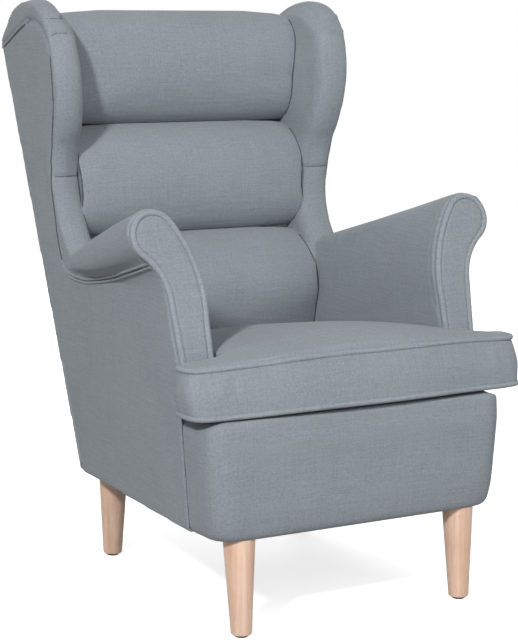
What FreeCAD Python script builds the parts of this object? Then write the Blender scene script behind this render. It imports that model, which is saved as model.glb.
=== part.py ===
import FreeCAD, Part
import math
import os

V = FreeCAD.Vector

# Millimetres. The floor is Z 0, the sitter faces -Y, and the sitter's left is +X.
# Left pieces are modelled and right ones are their mirror images.

# Main sizes
DEPTH = 840.0                  # cushion front to the rear edge at the hem
SEAT_HALF = 226.0              # middle of the seat to the inner face of an arm
ARM_BASE_T = 32.0              # inner face of an arm to the outer side, at the underside
LEG_H = 165.0                  # floor to the upholstered body
APRON_H = 196.0                # underside to the deck
LUMBAR_H = 237.0               # deck to the lower crease of the back
MIDDLE_H = 204.0               # lower crease to the upper one
HEAD_H = 211.0                 # upper crease to the ridge of the head roll
WING_RISE = 17.0               # ridge to the top of the wings
HEM_DROP = 68.0                # ridge down to the hem of the outside back

# Planes that the sides, the back and the arm fronts follow
SIDE_LEAN = 4.1                # degrees that each side leans outwards
SIDE_FLARE = 2.3               # degrees that the sides open towards the front
BACK_RECLINE = 16.8            # degrees that the back leans
ARM_SET_BACK = 114.0           # cushion front to the arm front below its lean
FACE_FOOT_H = 69.0             # deck to where the arm front starts to lean back
FACE_LEAN = 14.8               # degrees

# Covers and padding
PANEL_T = 12.0                 # outside panels, outside back and apron, with their wadding
WING_T = 56.0                  # wing from its outer to its inner face
WING_EDGE = 24.0               # how far the wing's inner edge is rounded
LINING_T = 16.0                # quilted lining behind the back rolls
FACING_T = 7.0                 # padded facing on the arm front
FACING_INSET = 12.0            # facing edge to the arm's edge
FACING_FOOT = 4.0              # foot of the facing above the foot of the lean
WELT_R = 4.8                   # welt round the facing
WELT_INSET = 1.0               # welt to the arm's edge
PIPING_R = 4.5                 # piping on the seat cushion
SEAM_H = 351.0                 # deck to the level seam between wing cover and arm cover
SEWN_GAP = 0.3                 # between covers that lie against each other

# Frame
RAIL_T = 28.0
LEG_BLOCK_H = 38.0             # blocks under the rails that take the legs
LEG_BLOCK_W = 84.0             # across the chair
LEG_BLOCK_L = 168.0            # from front to back
POST_W = 40.0                  # rear post across the chair
POST_T = 42.0                  # rear post from back to front
BOARD_T = 18.0                 # sawn plywood boards of the arms and wings
ARM_BOARD_INSET = 10.0         # padding round the arm's front board
WING_BOARD_INSET = 32.0        # padding round the wing's board
ARM_RAIL_T = 24.0
ARM_RAIL_H = 60.0
ARM_RAIL_DROP = 14.0           # arm's neck to the top of its rail
BACK_RAIL_H = 60.0
WEBBING_COUNT = 5
WEBBING_T = 2.0
WEBBING_W = 50.0
WEBBING_LAP = 10.0             # webbing on each post
DUST_T = 1.5

# Seat support
DECK_T = 31.0                  # padded deck
SPRING_COUNT = 5
SPRING_WAVES = 5
SPRING_WIRE = 4.0              # side of the spring's wire
SPRING_WIDTH = 46.0            # across one zigzag spring
SPRING_MARGIN = 33.0           # inner face of an arm to the outermost spring
SPRING_PITCH = (2.0 * (SEAT_HALF - SPRING_MARGIN) - SPRING_WIDTH) / (SPRING_COUNT - 1)
SPRING_CORNER = 0.3            # share of a run that its bend takes up
CLIP_T = 2.0
CLIP_L = 22.0

# Legs
LEG_TOP_R = 27.0
LEG_FOOT_R = 17.5
LEG_RAKE = 8.0                 # front feet stand this far forward, rear feet this far back
LEG_FRONT_IN = (58.0, 37.0)    # leg axis from the outer side and from the apron's front
LEG_REAR_IN = (53.0, 32.0)     # from the outer side and from the outside back
GLIDE_H = 4.0
GLIDE_R = 12.0
GLIDE_EDGE = 1.5
BOLT_R = 4.0
BOLT_SIDES = 8
BOLT_IN_LEG = 40.0
INSERT_H = 22.0                # threaded insert in the leg block
INSERT_R = 7.0                 # over its corners
INSERT_SIDES = 6

# Arms
ARM_H = 330.0                  # deck to the top of the scroll at the facing
ARM_REAR_H = 217.0             # deck to the arm where the wing rises
ARM_REAR_T = 159.0             # that place in front of the outside back
NECK_FRONT_H = 191.0           # deck to where the scroll's neck meets the outside panel
NECK_REAR_H = 179.0
SCROLL_R = 43.0
SCROLL_REAR_R = 27.0
SCROLL_OUT = 11.0              # scroll centre outside the panel at the front
SCROLL_REAR_IN = 22.0          # and inside it at the rear
SCROLL_SPLIT = 20.0            # where the scroll's two arcs meet, in degrees
NECK_ANGLE = -52.0             # where the scroll turns into its neck, in degrees
NECK_REAR_ANGLE = -5.0
INNER_ANGLE = 148.0            # where the inner face meets the scroll
INNER_CURVE = 180.0            # height over which the inner face curls out
INNER_CURL = (0.19, 0.55)      # arc point of that curl, as shares of its width and height
NECK_CURL = (0.27, 0.53)       # arc point of the neck, likewise
ARM_STATIONS = (-0.30, 0.0, 0.30, 0.60, 1.0, 1.25)  # profiles from the arm front to the wing

# Side view of the wing: distances in front of the outside back, then offsets in Y and Z
WAIST_T = 146.0
WAIST_DROP = 8.0               # level seam to the waist
BULGE_T = 262.0
BULGE_DROP = 130.0             # top of the wing to its foremost place
WING_FOOT = 14.0               # wing ahead of the arm's end, at its foot
WING_START = 6.0               # and at the arm's top
WING_TAIL = 20.0               # arm's neck down to the foot of the wing
SCOOP = (-18.0, -70.0)         # from the waist, below it
SHOULDER_VIA = (-5.0, 34.0)    # from the waist, above it
SHOULDER = (-19.0, 68.0)
CHEEK_TOP = (22.0, -55.0)      # from the foremost place in Y and the top in Z
CROWN_VIA = (63.0, -14.0)
CROWN = (128.0, 0.0)
CAP_VIA = (-102.0, -13.0)      # from the rear edge in Y and the top in Z
CAP = (-68.0, -34.0)
WING_LAYERS = ((0.0, 0.28), (0.08, 0.12), (0.28, 0.03), (0.5, 0.0), (0.75, 0.12), (0.92, 0.45), (1.0, 1.0))

# Border of the outside panel, as offsets from the same places
HEM_FRONT = (121.0, -37.0)     # from the foremost place in Y and the top in Z
HEM_VIA = (61.0, -55.0)
BORDER_TOP = (28.0, 30.0)      # from the foremost place
BORDER_VIA = (19.0, -30.0)
BORDER_LOW = (36.0, -110.0)
BORDER_WAIST_VIA = (6.0, 18.0)  # from the waist
BORDER_WAIST = (19.0, -54.0)
BORDER_BEND = (52.0, 24.0)     # from the neck's rear end
BORDER_END = (5.0, 0.0)
NECK_LINE_VIA = (-110.0, 4.0)
NECK_LINE_RUN = 250.0          # curved rear stretch of the neck line
NECK_LINE_RISE = 8.0           # its front end above the neck at the facing

# Back rolls: crowns as distance in front of the outside back and height above the crease below
LUMBAR_CROWN = (158.0, 107.0)
MIDDLE_CROWN = (152.0, 80.0)
HEAD_CROWN = (175.0, 88.0)
LOW_CREASE_T = 95.0            # creases and ridge in front of the outside back
HIGH_CREASE_T = 105.0
RIDGE_T = 150.0
LUMBAR_VIAS = ((12.0, -58.0), (27.0, 78.0))  # arc points below and above each crown
MIDDLE_VIAS = ((6.0, -48.0), (17.0, 70.0))
HEAD_VIAS = ((7.0, -52.0), (10.0, 76.0))
RIDGE_VIA = (76.0, -19.0)      # arc point from the ridge to the hem
LUMBAR_FOOT = 14.0             # foot of the lumbar roll in front of its lining
CREASE_DROP = 6.0              # creases fall towards the lining
ROLL_GAP = 0.6                 # between neighbouring rolls
ROLL_END = 0.80                # how far a roll shrinks at its ends
ROLL_STATIONS = (-1.0, -0.94, -0.82, -0.6, 0.6, 0.82, 0.94, 1.0)
ROLL_TUCK = 26.0               # roll ends before they are trimmed at the wings
LUMBAR_CLEAR = 9.0             # lumbar roll to the arms

# Apron
CUSHION_OVERHANG = 13.0        # cushion front ahead of the apron
APRON_CORNER_R = 38.0
APRON_TUCK = 5.0               # the underside edge lies this far back
APRON_EDGE = 12.0              # rounding of the underside edge
APRON_ROUND = ((0.0, 0.8), (0.3, 0.25), (1.0, 0.0))  # that rounding, as shares of its height and depth

# Seat cushion
CUSHION_GAP = 0.4              # above the deck
LOW_PIPING_H = 8.0             # deck to the lower piping
BOXING_H = 74.0                # lower piping to the upper one
CROWN_H = 31.0                 # upper piping to the crown
CUSHION_REAR_CLEAR = 10.0      # cushion to the crown of the lumbar roll
EAR_OUT = 94.0                 # ears beyond the inner face of the arms
EAR_CLEAR = 12.0               # ears to the arm front
EAR_R = 30.0                   # front corners of the ears
EAR_SHIFT = 12.0               # ears lie this far to the sitter's left, as a loose cushion settles
CORNER_R = 10.0                # other corners
NOTCH_CLEAR = 4.0              # cushion side to the arm
FRONT_BOW = 24.0               # middle of the front edge ahead of its corners
FRONT_SLOPE = 20.0             # upper piping behind the lower one at the front
TOP_SLOPE = 10.0               # further set-back of the front above the upper piping
BOXING_BULGE = 3.0             # the boxing swells this far between its pipings
BOTTOM_INSET = 10.0            # underside edge
BOTTOM_SLOPE = 2.0
CORE_INSET = 12.0              # fibre wrap and cover round the foam core
CROWN_SHARES = (0.12, 0.5, 1.0, 0.5, 0.12)  # crown at the ears, the arms and the middle
CROWN_EDGE = 0.25              # share of the crown that is left at its front and rear edge

# Levels and places that follow from these sizes
BASE_Z = LEG_H
DECK_Z = BASE_Z + APRON_H
DECK_UNDER = DECK_Z - DECK_T
SPRING_Z = DECK_UNDER - CLIP_T - SPRING_WIRE
RAIL_TOP = SPRING_Z - CLIP_T
RAIL_Z = BASE_Z + DUST_T + LEG_BLOCK_H
LOW_CREASE_Z = DECK_Z + LUMBAR_H
HIGH_CREASE_Z = LOW_CREASE_Z + MIDDLE_H
RIDGE_Z = HIGH_CREASE_Z + HEAD_H
HEIGHT = RIDGE_Z + WING_RISE
HEM_Z = RIDGE_Z - HEM_DROP
SEAM_Z = DECK_Z + SEAM_H
ARM_TOP_Z = DECK_Z + ARM_H
ARM_REAR_TOP_Z = DECK_Z + ARM_REAR_H
NECK_FRONT_Z = DECK_Z + NECK_FRONT_H
NECK_REAR_Z = DECK_Z + NECK_REAR_H
FACE_FOOT_Z = DECK_Z + FACE_FOOT_H
REAR_Y = DEPTH / 2
FRONT_Y = -DEPTH / 2
APRON_FRONT_Y = FRONT_Y + CUSHION_OVERHANG
ARM_FRONT_Y = FRONT_Y + ARM_SET_BACK
FRAME_T = PANEL_T + POST_T     # front of the rear posts, from the outside back
LINING_BACK_T = FRAME_T + WEBBING_T
ROLL_BACK_T = LINING_BACK_T + LINING_T
LEAN = math.tan(math.radians(SIDE_LEAN))
FLARE = math.tan(math.radians(SIDE_FLARE))
RECLINE = math.tan(math.radians(BACK_RECLINE))
SIDE_COS = 1.0 / math.sqrt(1.0 + FLARE ** 2 + LEAN ** 2)
FAR = 2.0 * DEPTH              # reach of a cutting shape
SLIVER = 100.0                 # smaller offcuts are waste, mm3

nodes = {}


def side_x(y, z):
    """Outer side of the chair at a place in side view."""
    return SEAT_HALF + ARM_BASE_T + LEAN * (z - BASE_Z) - FLARE * y


def on_side(y, z, depth):
    """Point at a depth inside the outer side, measured square to it."""
    return V(side_x(y, z) - depth / SIDE_COS, y, z)


def face_y(z):
    """Arm front at a level."""
    return ARM_FRONT_Y + math.tan(math.radians(FACE_LEAN)) * max(0.0, z - FACE_FOOT_Z)


def back_y(z, thickness=0.0):
    """Plane parallel to the outside back, a thickness in front of it."""
    return REAR_Y - RECLINE * (HEM_Z - z) - thickness / math.cos(math.radians(BACK_RECLINE))


def shifted(place, offset):
    return (place[0] + offset[0], place[1] + offset[1])


def wire(moves, place):
    """Closed wire. A move is the end of a line, or the middle and the end of an arc."""
    edges = []
    here = place(*moves[0])
    for move in list(moves[1:]) + [moves[0]]:
        if isinstance(move[0], tuple):
            via, end = place(*move[0]), place(*move[1])
            edges.append(Part.Arc(here, via, end).toShape())
        else:
            end = place(*move)
            if here.distanceToPoint(end) > 1e-6:
                edges.append(Part.makeLine(here, end))
        here = end
    return Part.Wire(edges)


def prism(moves, place, along):
    return Part.Face(wire(moves, place)).extrude(along)


def side_slab(moves, outer, inner):
    """Plate parallel to the outer side, between two depths inside it."""
    return prism(moves, lambda y, z: on_side(y, z, outer), V((outer - inner) / SIDE_COS, 0, 0))


def across(moves, x0, x1):
    """Side-view outline extruded across the chair."""
    return prism(moves, lambda y, z: V(x0, y, z), V(x1 - x0, 0, 0))


def back_slab(half_width, z0, z1, t0, t1):
    """Plate parallel to the outside back."""
    outline = [(back_y(z0, t0), z0), (back_y(z1, t0), z1), (back_y(z1, t1), z1), (back_y(z0, t1), z0)]
    return across(outline, -half_width, half_width)


def box(x0, x1, y0, y1, z0, z1):
    return Part.makeBox(x1 - x0, y1 - y0, z1 - z0, V(x0, y0, z0))


def rod(x, y, z, height, radius, sides):
    """Upright rod with flat sides."""
    turns = [2.0 * math.pi * i / sides for i in range(sides)]
    ring = [(x + radius * math.cos(t), y + radius * math.sin(t)) for t in turns]
    return prism(ring, lambda a, b: V(a, b, z), V(0, 0, height))


def loft(wires):
    return Part.makeLoft(wires, True, True)


def tube(edges, radius):
    """Six-sided tube along a run of edges."""
    path = Part.Wire(edges)
    first = path.OrderedEdges[0]
    start, along = first.valueAt(first.FirstParameter), first.tangentAt(first.FirstParameter)
    upright = abs(along.z) > math.sqrt(0.5)
    side = along.cross(V(1, 0, 0) if upright else V(0, 0, 1)).normalize()
    other = along.cross(side)
    turns = [math.radians(a) for a in range(0, 361, 60)]
    ring = Part.makePolygon([start + (side * math.cos(t) + other * math.sin(t)) * radius for t in turns])
    return path.makePipeShell([ring], True, False)


def mirrored(shape):
    return shape.mirror(V(0, 0, 0), V(1, 0, 0))


def both(shapes):
    return Part.makeCompound([s for shape in shapes for s in (shape, mirrored(shape))])


def add(name, shape):
    solids = [s for s in shape.Solids if s.Volume > SLIVER]
    nodes[name] = solids[0] if len(solids) == 1 else Part.makeCompound(solids)


def add_pair(name, shape):
    add(name + "_left", shape)
    add(name + "_right", mirrored(shape))


def inset(moves, distance):
    """The same outline drawn in by a distance at each of its points."""
    flat = []
    for move in moves:
        flat.extend(move if isinstance(move[0], tuple) else [move])
    pairs = list(zip(flat, flat[1:] + flat[:1]))
    turn = math.copysign(1.0, sum(a[0] * b[1] - b[0] * a[1] for a, b in pairs))
    moved = []
    for i, (a, b) in enumerate(flat):
        before, after = flat[i - 1], flat[(i + 1) % len(flat)]
        da, db = after[0] - before[0], after[1] - before[1]
        length = math.hypot(da, db)
        moved.append((a - turn * distance * db / length, b + turn * distance * da / length))
    rest = iter(moved)
    return [(next(rest), next(rest)) if isinstance(move[0], tuple) else next(rest) for move in moves]


def ribbon(points, width):
    """Outline of a flat strip along a polyline, in its own plane."""
    sides = ([], [])
    for i, (x, y) in enumerate(points):
        a, b = points[max(i - 1, 0)], points[min(i + 1, len(points) - 1)]
        before = V(x - a[0], y - a[1], 0) if i else V(b[0] - x, b[1] - y, 0)
        after = V(b[0] - x, b[1] - y, 0) if i < len(points) - 1 else before
        before.normalize()
        normal = before + after.normalize()
        normal = V(-normal.y, normal.x, 0).normalize()
        reach = width / 2 / abs(normal.dot(V(-before.y, before.x, 0)))
        for side, sign in zip(sides, (1, -1)):
            side.append((x + sign * normal.x * reach, y + sign * normal.y * reach))
    return sides[0] + sides[1][::-1]


def before_face(offset, reach):
    """Zone between two planes parallel to the arm front."""
    outline = [
        (ARM_FRONT_Y + offset, 0.0),
        (ARM_FRONT_Y + offset, FACE_FOOT_Z),
        (face_y(HEIGHT) + offset, HEIGHT),
        (face_y(HEIGHT) + reach, HEIGHT),
        (ARM_FRONT_Y + reach, FACE_FOOT_Z),
        (ARM_FRONT_Y + reach, 0.0),
    ]
    return across(outline, 0.0, FAR)


def behind_plane(thickness, top):
    """Zone behind a plane parallel to the outside back, up to a level."""
    outline = [(back_y(0.0, thickness), 0.0), (back_y(top, thickness), top), (FAR, top), (FAR, 0.0)]
    return across(outline, -FAR, FAR)


def wing_places():
    """Waist, foremost place and arm end of the wing in side view."""
    waist_z, bulge_z = SEAM_Z - WAIST_DROP, HEIGHT - BULGE_DROP
    return ((back_y(waist_z) - WAIST_T, waist_z), (back_y(bulge_z) - BULGE_T, bulge_z),
            back_y(ARM_REAR_TOP_Z) - ARM_REAR_T)


def wing_outline():
    waist, bulge, arm_end = wing_places()
    foot_z = NECK_REAR_Z - WING_TAIL
    front_top, rear_top = (bulge[0], HEIGHT), (REAR_Y, HEIGHT)
    cap = shifted(rear_top, CAP)
    hem_slope = (cap[1] - HEM_Z) / (REAR_Y - cap[0])
    overrun = REAR_Y - cap[0]
    return [
        (arm_end - WING_FOOT, foot_z),
        (arm_end - WING_START, ARM_REAR_TOP_Z),
        (shifted(waist, SCOOP), waist),
        (shifted(waist, SHOULDER_VIA), shifted(waist, SHOULDER)),
        (bulge, shifted(front_top, CHEEK_TOP)),
        (shifted(front_top, CROWN_VIA), shifted(front_top, CROWN)),
        (shifted(rear_top, CAP_VIA), cap),
        (REAR_Y + overrun, HEM_Z - hem_slope * overrun),
        (REAR_Y + overrun, foot_z),
    ]


def panel_outline():
    waist, bulge, arm_end = wing_places()
    top = (bulge[0], HEIGHT)
    neck = (arm_end, NECK_REAR_Z)
    return [
        (ARM_FRONT_Y, BASE_Z),
        (back_y(BASE_Z, PANEL_T), BASE_Z),
        (back_y(HEM_Z, PANEL_T), HEM_Z),
        shifted(top, HEM_FRONT),
        (shifted(top, HEM_VIA), shifted(bulge, BORDER_TOP)),
        (shifted(bulge, BORDER_VIA), shifted(bulge, BORDER_LOW)),
        (shifted(waist, BORDER_WAIST_VIA), shifted(waist, BORDER_WAIST)),
        (shifted(neck, BORDER_BEND), shifted(neck, BORDER_END)),
        (shifted(neck, NECK_LINE_VIA), (arm_end - NECK_LINE_RUN, NECK_FRONT_Z + NECK_LINE_RISE)),
        (face_y(NECK_FRONT_Z), NECK_FRONT_Z),
        (ARM_FRONT_Y, FACE_FOOT_Z),
    ]


def arm_profile(y, trim=0.0, foot=RAIL_TOP):
    """Outline of the arm across the chair, drawn in by trim, as X and Z."""
    front = face_y(ARM_TOP_Z)
    share = (y - front) / (wing_places()[2] - front)
    blend = max(0.0, share) ** 2
    radius = SCROLL_R + (SCROLL_REAR_R - SCROLL_R) * blend
    neck_z = NECK_FRONT_Z + (NECK_REAR_Z - NECK_FRONT_Z) * share
    centre_x = side_x(y, neck_z) + SCROLL_OUT - (SCROLL_OUT + SCROLL_REAR_IN) * blend
    centre_z = ARM_TOP_Z + (ARM_REAR_TOP_Z - ARM_TOP_Z) * share - radius
    neck_angle = NECK_ANGLE + (NECK_REAR_ANGLE - NECK_ANGLE) * blend

    def on_scroll(angle):
        turn = math.radians(angle)
        return (centre_x + (radius - trim) * math.cos(turn), centre_z + (radius - trim) * math.sin(turn))

    def between(a, b, shares):
        return (a[0] + shares[0] * (b[0] - a[0]), a[1] + shares[1] * (b[1] - a[1]))

    wall = (SEAT_HALF + trim, centre_z + radius - INNER_CURVE)
    curl, under = on_scroll(INNER_ANGLE), on_scroll(neck_angle)
    neck = (side_x(y, neck_z) - trim, neck_z - trim)
    return [
        (SEAT_HALF + trim, foot),
        wall,
        (between(wall, curl, INNER_CURL), curl),
        (on_scroll(90.0), on_scroll(SCROLL_SPLIT)),
        (on_scroll((SCROLL_SPLIT + neck_angle) / 2), under),
        (between(neck, under, NECK_CURL), neck),
        (side_x(y, foot) - trim, foot),
    ]


def legs():
    """Yields each left leg with its bolt, glide, threaded insert and block."""
    front_y = APRON_FRONT_Y + LEG_FRONT_IN[1]
    rear_y = back_y(BASE_Z) - LEG_REAR_IN[1]
    for name, y, side, rake in (("front", front_y, LEG_FRONT_IN[0], -LEG_RAKE),
                                ("rear", rear_y, LEG_REAR_IN[0], LEG_RAKE)):
        x = side_x(y, BASE_Z) - side

        def level(z, radius):
            centre = V(x, y + rake * (BASE_Z - z) / BASE_Z, z)
            return Part.Wire(Part.makeCircle(radius, centre, V(0, 0, 1)))

        block_z = BASE_Z + DUST_T
        leg = loft([level(GLIDE_H, LEG_FOOT_R), level(BASE_Z, LEG_TOP_R)])
        bolt = rod(x, y, BASE_Z - BOLT_IN_LEG, BOLT_IN_LEG + DUST_T + INSERT_H, BOLT_R, BOLT_SIDES)
        glide = loft([level(0.0, GLIDE_R - GLIDE_EDGE), level(GLIDE_H, GLIDE_R)])
        insert = rod(x, y, block_z, INSERT_H, INSERT_R, INSERT_SIDES)
        half_x, half_y = LEG_BLOCK_W / 2, LEG_BLOCK_L / 2
        block = box(x - half_x, x + half_x, y - half_y, y + half_y, block_z, block_z + LEG_BLOCK_H)
        yield name, leg.cut(bolt), bolt, glide, insert.cut(bolt), block.cut(insert)


def apron_outline(z, trim):
    """Plan of the base's front, which is open to the seat frame behind it."""
    half = side_x(ARM_FRONT_Y, z) - trim
    front = APRON_FRONT_Y + APRON_TUCK * (DECK_Z - z) / APRON_H + trim
    radius = APRON_CORNER_R - trim
    bend = radius * (1.0 - math.sqrt(0.5))
    outline = [
        (half, ARM_FRONT_Y),
        (half, front + radius),
        ((half - bend, front + bend), (half - radius, front)),
        (radius - half, front),
        ((bend - half, front + bend), (-half, front + radius)),
        (-half, ARM_FRONT_Y),
    ]
    return wire(outline, lambda x, y: V(x, y, z))


def apron_space(top):
    """Room inside the apron for the frame."""
    return loft([apron_outline(BASE_Z, PANEL_T), apron_outline(top, PANEL_T)])


def seat_frame():
    """Rails, posts, leg blocks and legs. Returns the left rear post."""
    space = apron_space(RAIL_TOP)
    seat_box = side_slab([(ARM_FRONT_Y, 0.0), (FAR, 0.0), (FAR, HEIGHT), (ARM_FRONT_Y, HEIGHT)], PANEL_T, FAR)
    seat_box = seat_box.cut(behind_plane(PANEL_T, HEIGHT))
    groups = {"leg_blocks": [], "leg_bolts": [], "leg_glides": [], "threaded_inserts": []}
    for name, leg, bolt, glide, insert, block in legs():
        add_pair("leg_" + name, leg)
        inside = block.common(space).fuse(block.common(seat_box)).removeSplitter()
        for group, shape in zip(groups.values(), (inside, bolt, glide, insert)):
            group.append(shape)
    for name, group in groups.items():
        add(name, both(group))

    rail_front = APRON_FRONT_Y + APRON_TUCK + PANEL_T
    rail_back = rail_front + RAIL_T
    rail_half = side_x(ARM_FRONT_Y, BASE_Z) - APRON_CORNER_R
    add("seat_front_rail", box(-rail_half, rail_half, rail_front, rail_back, RAIL_Z, RAIL_TOP))

    post = side_slab([(back_y(RAIL_Z, PANEL_T), RAIL_Z), (back_y(HEM_Z, PANEL_T), HEM_Z),
                      (back_y(HEM_Z, FRAME_T), HEM_Z), (back_y(RAIL_Z, FRAME_T), RAIL_Z)],
                     PANEL_T, PANEL_T + POST_W)
    add_pair("rear_post", post)
    side_rail = side_slab([(rail_back, RAIL_Z), (back_y(RAIL_Z, FRAME_T), RAIL_Z),
                           (back_y(RAIL_TOP, FRAME_T), RAIL_TOP), (rail_back, RAIL_TOP)],
                          PANEL_T, PANEL_T + RAIL_T)
    add_pair("seat_side_rail", side_rail.common(space).fuse(side_rail.common(seat_box)).removeSplitter())
    for name, low, high, depth in (("seat_rear_rail", RAIL_Z, RAIL_TOP, RAIL_T),
                                   ("lumbar_rail", DECK_Z, DECK_Z + BACK_RAIL_H, RAIL_T),
                                   ("middle_back_rail", SEAM_Z - BACK_RAIL_H, SEAM_Z, RAIL_T),
                                   ("crest_rail", HEM_Z - BACK_RAIL_H, HEM_Z, POST_T)):
        half = side_x(back_y(low), low)
        rail = back_slab(half, low, high, PANEL_T, PANEL_T + depth).cut(post).cut(mirrored(post))
        add(name, [s for s in rail.Solids if abs(s.CenterOfMass.x) < RAIL_T][0])
    return post


def seat_springs():
    front = APRON_FRONT_Y + APRON_TUCK + PANEL_T + RAIL_T / 2
    rear = back_y(RAIL_TOP, PANEL_T + RAIL_T / 2)
    runs = SPRING_WAVES * 2
    step = (rear - front) / runs
    reach = (SPRING_WIDTH - SPRING_WIRE) / 2
    bend = step * SPRING_CORNER
    low, high = SPRING_Z - CLIP_T, SPRING_Z + SPRING_WIRE + CLIP_T
    springs, clips = [], []
    for i in range(SPRING_COUNT):
        x = SPRING_PITCH * (i - (SPRING_COUNT - 1) / 2)
        points = [(x - reach, front)]
        for k in range(runs):
            side = 1.0 if k % 2 == 0 else -1.0
            y = front + k * step
            points += [(x + side * (reach - bend), y), (x + side * reach, y + bend),
                       (x + side * reach, y + step - bend), (x + side * (reach - bend), y + step)]
        points.append((x - reach, rear))
        outline = ribbon(points, SPRING_WIRE)
        springs.append(prism(outline, lambda a, b: V(a, b, SPRING_Z), V(0, 0, SPRING_WIRE)))
        half = CLIP_L / 2
        for y, front_wall, rear_wall in ((front, CLIP_T, 0.0), (rear, 0.0, CLIP_T)):
            clip = box(x - half, x + half, y - half, y + half, low, high)
            clips.append(clip.cut(box(x - half, x + half, y - half + front_wall, y + half - rear_wall,
                                      SPRING_Z, SPRING_Z + SPRING_WIRE)))
    add("seat_springs", Part.makeCompound(springs))
    add("spring_clips", Part.makeCompound(clips))
    add("seat_deck", box(-SEAT_HALF, SEAT_HALF, ARM_FRONT_Y, back_y(DECK_Z, ROLL_BACK_T), DECK_UNDER, DECK_Z))


def apron_and_dust_cover():
    levels = [(BASE_Z + APRON_EDGE * rise, APRON_EDGE * depth) for rise, depth in APRON_ROUND]
    outer = loft([apron_outline(z, trim) for z, trim in levels + [(DECK_Z, 0.0)]])
    add("front_apron", outer.cut(apron_space(DECK_UNDER)))
    rear = back_y(BASE_Z, PANEL_T)
    wide = side_x(ARM_FRONT_Y, BASE_Z) - PANEL_T / SIDE_COS
    narrow = side_x(rear, BASE_Z) - PANEL_T / SIDE_COS
    plan = [(-wide, ARM_FRONT_Y), (wide, ARM_FRONT_Y), (narrow, rear), (-narrow, rear)]
    cover = prism(plan, lambda x, y: V(x, y, BASE_Z), V(0, 0, DUST_T))
    front = Part.Face(apron_outline(BASE_Z, PANEL_T)).extrude(V(0, 0, DUST_T))
    cover = cover.fuse(front).removeSplitter()
    for bolt in [pieces[2] for pieces in legs()]:
        cover = cover.cut(bolt).cut(mirrored(bolt))
    add("dust_cover", cover)


def sides(post):
    """Outside panels, arms and wings, which flow into one form on each side."""
    add_pair("outside_panel", side_slab(panel_outline(), 0.0, PANEL_T))
    outside = side_slab(panel_outline(), -FAR, PANEL_T)

    front = face_y(ARM_TOP_Z)
    stations = [front + share * (wing_places()[2] - front) for share in ARM_STATIONS]
    arm_form = loft([wire(arm_profile(y), lambda x, z, y=y: V(x, y, z)) for y in stations])
    arm_form = arm_form.cut(before_face(-FAR, 0.0))
    wing_form = loft([wire(inset(wing_outline(), WING_EDGE * edge), lambda y, z, d=WING_T * depth: on_side(y, z, d))
                      for depth, edge in WING_LAYERS])
    wing_form = wing_form.cut(behind_plane(0.0, HEIGHT)).cut(behind_plane(LINING_BACK_T, HEM_Z))

    board = prism(arm_profile(front, ARM_BOARD_INSET), lambda x, z: V(x, -FAR, z), V(0, 2 * FAR, 0))
    board = board.common(before_face(0.0, BOARD_T)).cut(outside)
    add_pair("arm_front_board", board)

    rail_top = NECK_REAR_Z - ARM_RAIL_DROP
    rail_low = rail_top - ARM_RAIL_H
    arm_rail = side_slab([(-FAR, rail_low), (back_y(rail_low, FRAME_T), rail_low),
                          (back_y(rail_top, FRAME_T), rail_top), (-FAR, rail_top)],
                         PANEL_T, PANEL_T + ARM_RAIL_T).cut(before_face(-2 * FAR, BOARD_T))
    add_pair("arm_rail", arm_rail)

    wing_board = side_slab(inset(wing_outline(), WING_BOARD_INSET), PANEL_T, PANEL_T + BOARD_T)
    wing_board = wing_board.cut(behind_plane(LINING_BACK_T, 2 * HEIGHT))
    wing_board = wing_board.cut(box(-FAR, FAR, -FAR, FAR, 0.0, rail_top))
    add_pair("wing_board", wing_board)

    below = box(0.0, FAR, -FAR, FAR, 0.0, SEAM_Z)
    arm_pad = arm_form.cut(behind_plane(LINING_BACK_T, HEIGHT)).fuse(wing_form.common(below))
    for shape in (outside, board, arm_rail, wing_board):
        arm_pad = arm_pad.cut(shape)
    add_pair("arm_pad", arm_pad)
    wing_pad = wing_form.cut(below)
    for shape in (outside, wing_board, post):
        wing_pad = wing_pad.cut(shape)
    add_pair("wing_pad", wing_pad)


def arm_fronts():
    front, foot = face_y(ARM_TOP_Z), FACE_FOOT_Z + FACING_FOOT
    facing = prism(arm_profile(front, FACING_INSET, foot), lambda x, z: V(x, -FAR, z), V(0, 2 * FAR, 0))
    add_pair("arm_facing", facing.common(before_face(-FACING_T, 0.0)))
    welt = wire(arm_profile(front, WELT_R + WELT_INSET, foot),
                lambda x, z: V(x, face_y(z) - WELT_R - SEWN_GAP, z))
    add_pair("arm_welt", tube(welt.Edges[:-1], WELT_R))


def back_panels():
    """Outside back, webbing and lining."""
    half_low, half_high = side_x(back_y(BASE_Z), BASE_Z), side_x(back_y(HEM_Z), HEM_Z)
    low = [V(sx * half_low, back_y(BASE_Z), BASE_Z) for sx in (-1, 1)]
    high = [V(sx * half_high, back_y(HEM_Z), HEM_Z) for sx in (1, -1)]
    face = Part.Face(Part.makePolygon([low[0], low[1], high[0], high[1], low[0]]))
    turn = math.radians(BACK_RECLINE)
    panel = face.extrude(V(0, -math.cos(turn), math.sin(turn)) * PANEL_T)
    add("outside_back_panel", panel.common(box(-FAR, FAR, -FAR, FAR, BASE_Z, HEM_Z)))

    straps = []
    pitch = (HEM_Z - DECK_Z) / (WEBBING_COUNT + 1)
    for i in range(1, WEBBING_COUNT + 1):
        z = DECK_Z + i * pitch
        half = side_x(back_y(z), z) - PANEL_T - POST_W + WEBBING_LAP
        straps.append(back_slab(half, z - WEBBING_W / 2, z + WEBBING_W / 2, FRAME_T, LINING_BACK_T))
    add("back_webbing", Part.makeCompound(straps))

    lining = back_slab(FAR, DECK_Z + SEWN_GAP, HEM_Z, LINING_BACK_T, ROLL_BACK_T)
    for wall in wing_walls():
        lining = lining.cut(wall)
    add("back_lining", lining)


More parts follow.
